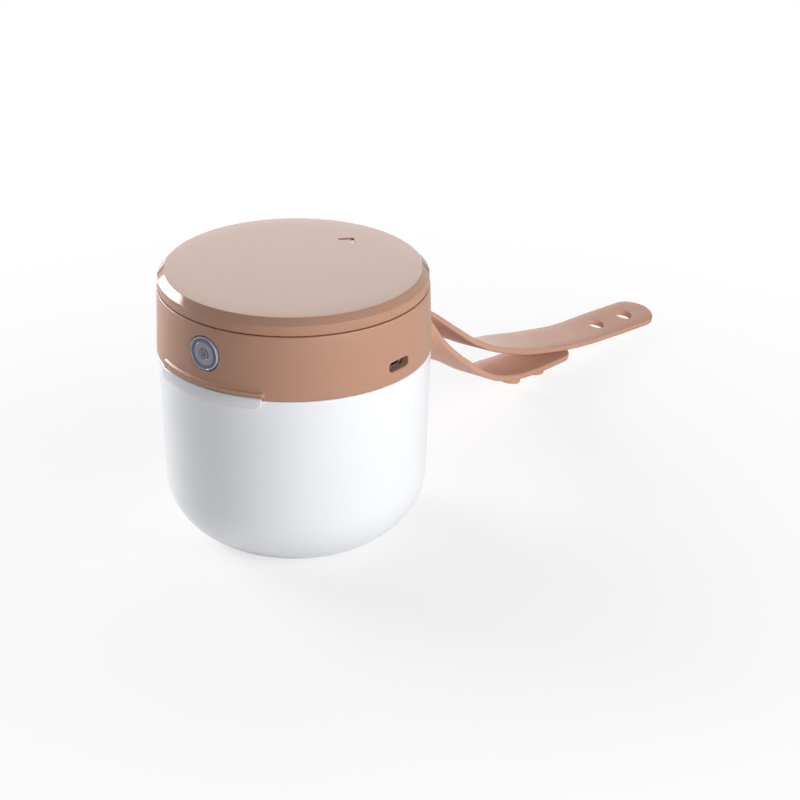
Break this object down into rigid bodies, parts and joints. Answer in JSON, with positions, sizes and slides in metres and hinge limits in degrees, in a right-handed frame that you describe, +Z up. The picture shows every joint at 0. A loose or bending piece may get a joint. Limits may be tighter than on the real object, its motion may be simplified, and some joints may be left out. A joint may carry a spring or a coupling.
{
  "type": "pacifier sterilizer case",
  "caption": "Cup-shaped case for cleaning soothers with ultraviolet light, with a head that flips up on a rear hinge, a power button, a charging port and a silicone strap.",
  "frame": {"origin": "centre of the base pad's underside, where the case stands on the table", "axes": "+Z up; -Y towards the front with the button and the finger tab; +Y towards the hinge and the strap; +X towards the charging port"},
  "size_m": [0.08, 0.2302, 0.0821],
  "materials": {
    "white_plastic": "smooth white moulded plastic",
    "grey_rubber": "soft grey silicone",
    "liner_metal": "bright reflective lining",
    "clear_plastic": "clear polished plastic",
    "nickel": "bright nickel plating",
    "steel": "plain steel",
    "terracotta_plastic": "satin terracotta plastic",
    "terracotta_silicone": "smooth matte silicone",
    "window_glass": "clear quartz",
    "lamp_board": "white solder mask",
    "lamp_body": "lamp package",
    "green_board": "green solder mask",
    "black_plastic": "black moulded plastic",
    "dark_plastic": "dark grey moulded plastic",
    "frosted_plastic": "frosted translucent plastic",
    "battery_foil": "pouch foil",
    "black_foam": "soft foam",
    "cream_plastic": "natural nylon",
    "red_insulation": "red wire insulation"
  },
  "bodies": {
    "cup": {"cup_shell": "white_plastic", "base_pad": "grey_rubber", "inner_liner": "liner_metal", "rim_ring": "clear_plastic", "cup_magnet": "nickel", "soother_rack": "clear_plastic", "hinge_pin": "steel", "strap_pin": "steel"},
    "head": {"head_housing": "terracotta_plastic", "top_cover": "terracotta_plastic", "head_floor": "white_plastic", "lid_seal": "grey_rubber", "head_magnet": "nickel", "head_screw_1": "steel", "head_screw_2": "steel", "head_screw_3": "steel", "head_screw_4": "steel", "uv_window": "window_glass", "reflector": "nickel", "uv_board": "lamp_board", "uv_led_left": "lamp_body", "uv_led_right": "lamp_body", "main_board": "green_board", "control_chip": "black_plastic", "charger_chip": "black_plastic", "hall_sensor": "black_plastic", "usb_shell": "steel", "usb_tongue": "black_plastic", "switch_body": "black_plastic", "switch_board": "green_board", "status_led": "lamp_body", "battery_carrier": "dark_plastic", "battery": "battery_foil", "battery_foam": "black_foam", "battery_plug": "cream_plastic", "battery_lead_red": "red_insulation", "battery_lead_black": "black_plastic"},
    "button": {"power_button": "frosted_plastic", "switch_plunger": "black_plastic"},
    "strap": {"strap": "terracotta_silicone"}
  },
  "joints": [
    {"name": "lid_hinge", "type": "hinge", "parent": "cup", "child": "head", "pos_m": [0, 0.0432, 0.0583], "axis": [-1, 0, 0], "range_deg": [0, 100]},
    {"name": "power_button_press", "type": "slide", "parent": "head", "child": "button", "axis": [0, 1, 0], "range_m": [0, 0.0006], "stiffness_N_per_m": 800},
    {"name": "strap_swing", "type": "hinge", "parent": "cup", "child": "strap", "pos_m": [0, 0.0442, 0.0461], "axis": [0, 0, 1], "range_deg": [-60, 60]}
  ]
}
